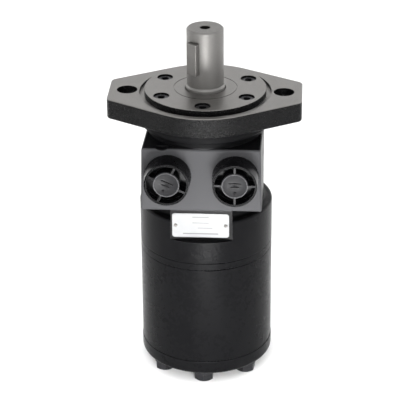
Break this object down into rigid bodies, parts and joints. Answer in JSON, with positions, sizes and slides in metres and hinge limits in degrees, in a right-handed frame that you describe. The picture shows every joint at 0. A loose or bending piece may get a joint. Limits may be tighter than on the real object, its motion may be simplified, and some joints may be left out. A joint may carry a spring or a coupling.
{
  "type": "hydraulic motor",
  "caption": "Orbit hydraulic motor: round body, two-bolt flange with pilot, keyed shaft, side port block with plugged ports, rear cover held by hexagon screws.",
  "frame": {"origin": "centre of the mounting face, on the shaft's axis, midway between the two mounting holes", "axes": "+Z towards the shaft's free end, +X along the flange's long axis, the ports face -Y"},
  "size_m": [0.1312, 0.104, 0.2499],
  "materials": {
    "flange": "machined face, black painted sides",
    "casting": "satin black paint over cast iron",
    "black_screw": "black oxide",
    "ground_steel": "ground and polished",
    "bearing_steel": "hardened and lapped",
    "seal_rubber": "matt",
    "plate": "satin, printed",
    "plug_plastic": "moulded, glossy"
  },
  "bodies": {
    "motor_body": {"mounting_flange": "flange", "flange_screws": "black_screw", "dust_seal": "seal_rubber", "seal_washer": "bearing_steel", "shaft_seal": "seal_rubber", "flange_o_ring": "seal_rubber", "bearing_race_front": "bearing_steel", "housing": "casting", "housing_o_ring": "seal_rubber", "spacer_plate": "casting", "ring_o_ring": "seal_rubber", "geroler_ring": "casting", "cover_o_ring": "seal_rubber", "end_cover": "casting", "end_cover_washers": "black_screw", "end_cover_screws": "black_screw", "name_plate": "plate", "name_plate_rivets": "plate"},
    "shaft_assembly": {"output_shaft": "ground_steel", "shaft_key": "ground_steel", "bearing_race_rear": "bearing_steel"},
    "thrust_bearing": {"bearing_cage": "bearing_steel", "bearing_needles": "bearing_steel"},
    "orbiting_spacer": {"drive_spacer": "ground_steel"},
    "star": {"geroler_star": "ground_steel"},
    "link": {"drive_link": "ground_steel"},
    "ball_left": {"check_ball_left": "bearing_steel"},
    "ball_right": {"check_ball_right": "bearing_steel"},
    "plug_left": {"port_plug_left": "plug_plastic"},
    "plug_right": {"port_plug_right": "plug_plastic"},
    "roller_1_body": {"roller_1": "bearing_steel"},
    "roller_2_body": {"roller_2": "bearing_steel"},
    "roller_3_body": {"roller_3": "bearing_steel"},
    "roller_4_body": {"roller_4": "bearing_steel"},
    "roller_5_body": {"roller_5": "bearing_steel"},
    "roller_6_body": {"roller_6": "bearing_steel"},
    "roller_7_body": {"roller_7": "bearing_steel"}
  },
  "joints": [
    {"name": "shaft_spin", "type": "hinge", "parent": "motor_body", "child": "shaft_assembly", "pos_m": [0, 0, 0], "axis": [0, 0, 1], "continuous": true},
    {"name": "bearing_spin", "type": "hinge", "parent": "motor_body", "child": "thrust_bearing", "pos_m": [0, 0, 0], "axis": [0, 0, 1], "continuous": true},
    {"name": "star_orbit", "type": "hinge", "parent": "motor_body", "child": "orbiting_spacer", "pos_m": [0, 0, -0.175], "axis": [0, 0, 1], "continuous": true},
    {"name": "star_turn", "type": "hinge", "parent": "orbiting_spacer", "child": "star", "pos_m": [0.0013, -0.0027, -0.15], "axis": [0, 0, 1], "continuous": true},
    {"name": "link_turn", "type": "hinge", "parent": "orbiting_spacer", "child": "link", "pos_m": [0, 0, -0.066], "axis": [-0.0141, 0.0294, 0.9995], "continuous": true},
    {"name": "check_ball_lift_left", "type": "slide", "parent": "motor_body", "child": "ball_left", "axis": [0, 0, 1], "range_m": [0, 0.0015]},
    {"name": "check_ball_lift_right", "type": "slide", "parent": "motor_body", "child": "ball_right", "axis": [0, 0, 1], "range_m": [0, 0.0015]},
    {"name": "plug_removal_left", "type": "slide", "parent": "motor_body", "child": "plug_left", "axis": [0, -1, 0], "range_m": [0, 0.04]},
    {"name": "plug_removal_right", "type": "slide", "parent": "motor_body", "child": "plug_right", "axis": [0, -1, 0], "range_m": [0, 0.04]},
    {"name": "roller_1_spin", "type": "hinge", "parent": "motor_body", "child": "roller_1_body", "pos_m": [0.01258, -0.02613, -0.15], "axis": [0, 0, 1], "continuous": true},
    {"name": "roller_2_spin", "type": "hinge", "parent": "motor_body", "child": "roller_2_body", "pos_m": [0.02827, -0.00645, -0.15], "axis": [0, 0, 1], "continuous": true},
    {"name": "roller_3_spin", "type": "hinge", "parent": "motor_body", "child": "roller_3_body", "pos_m": [0.02267, 0.01808, -0.15], "axis": [0, 0, 1], "continuous": true},
    {"name": "roller_4_spin", "type": "hinge", "parent": "motor_body", "child": "roller_4_body", "pos_m": [0, 0.029, -0.15], "axis": [0, 0, 1], "continuous": true},
    {"name": "roller_5_spin", "type": "hinge", "parent": "motor_body", "child": "roller_5_body", "pos_m": [-0.02267, 0.01808, -0.15], "axis": [0, 0, 1], "continuous": true},
    {"name": "roller_6_spin", "type": "hinge", "parent": "motor_body", "child": "roller_6_body", "pos_m": [-0.02827, -0.00645, -0.15], "axis": [0, 0, 1], "continuous": true},
    {"name": "roller_7_spin", "type": "hinge", "parent": "motor_body", "child": "roller_7_body", "pos_m": [-0.01258, -0.02613, -0.15], "axis": [0, 0, 1], "continuous": true}
  ],
  "couplings": [
    {"joint": "bearing_spin", "follows": "shaft_spin", "ratio": 0.5},
    {"joint": "star_orbit", "follows": "shaft_spin", "ratio": -6},
    {"joint": "star_turn", "follows": "shaft_spin", "ratio": 7},
    {"joint": "link_turn", "follows": "shaft_spin", "ratio": 7}
  ]
}
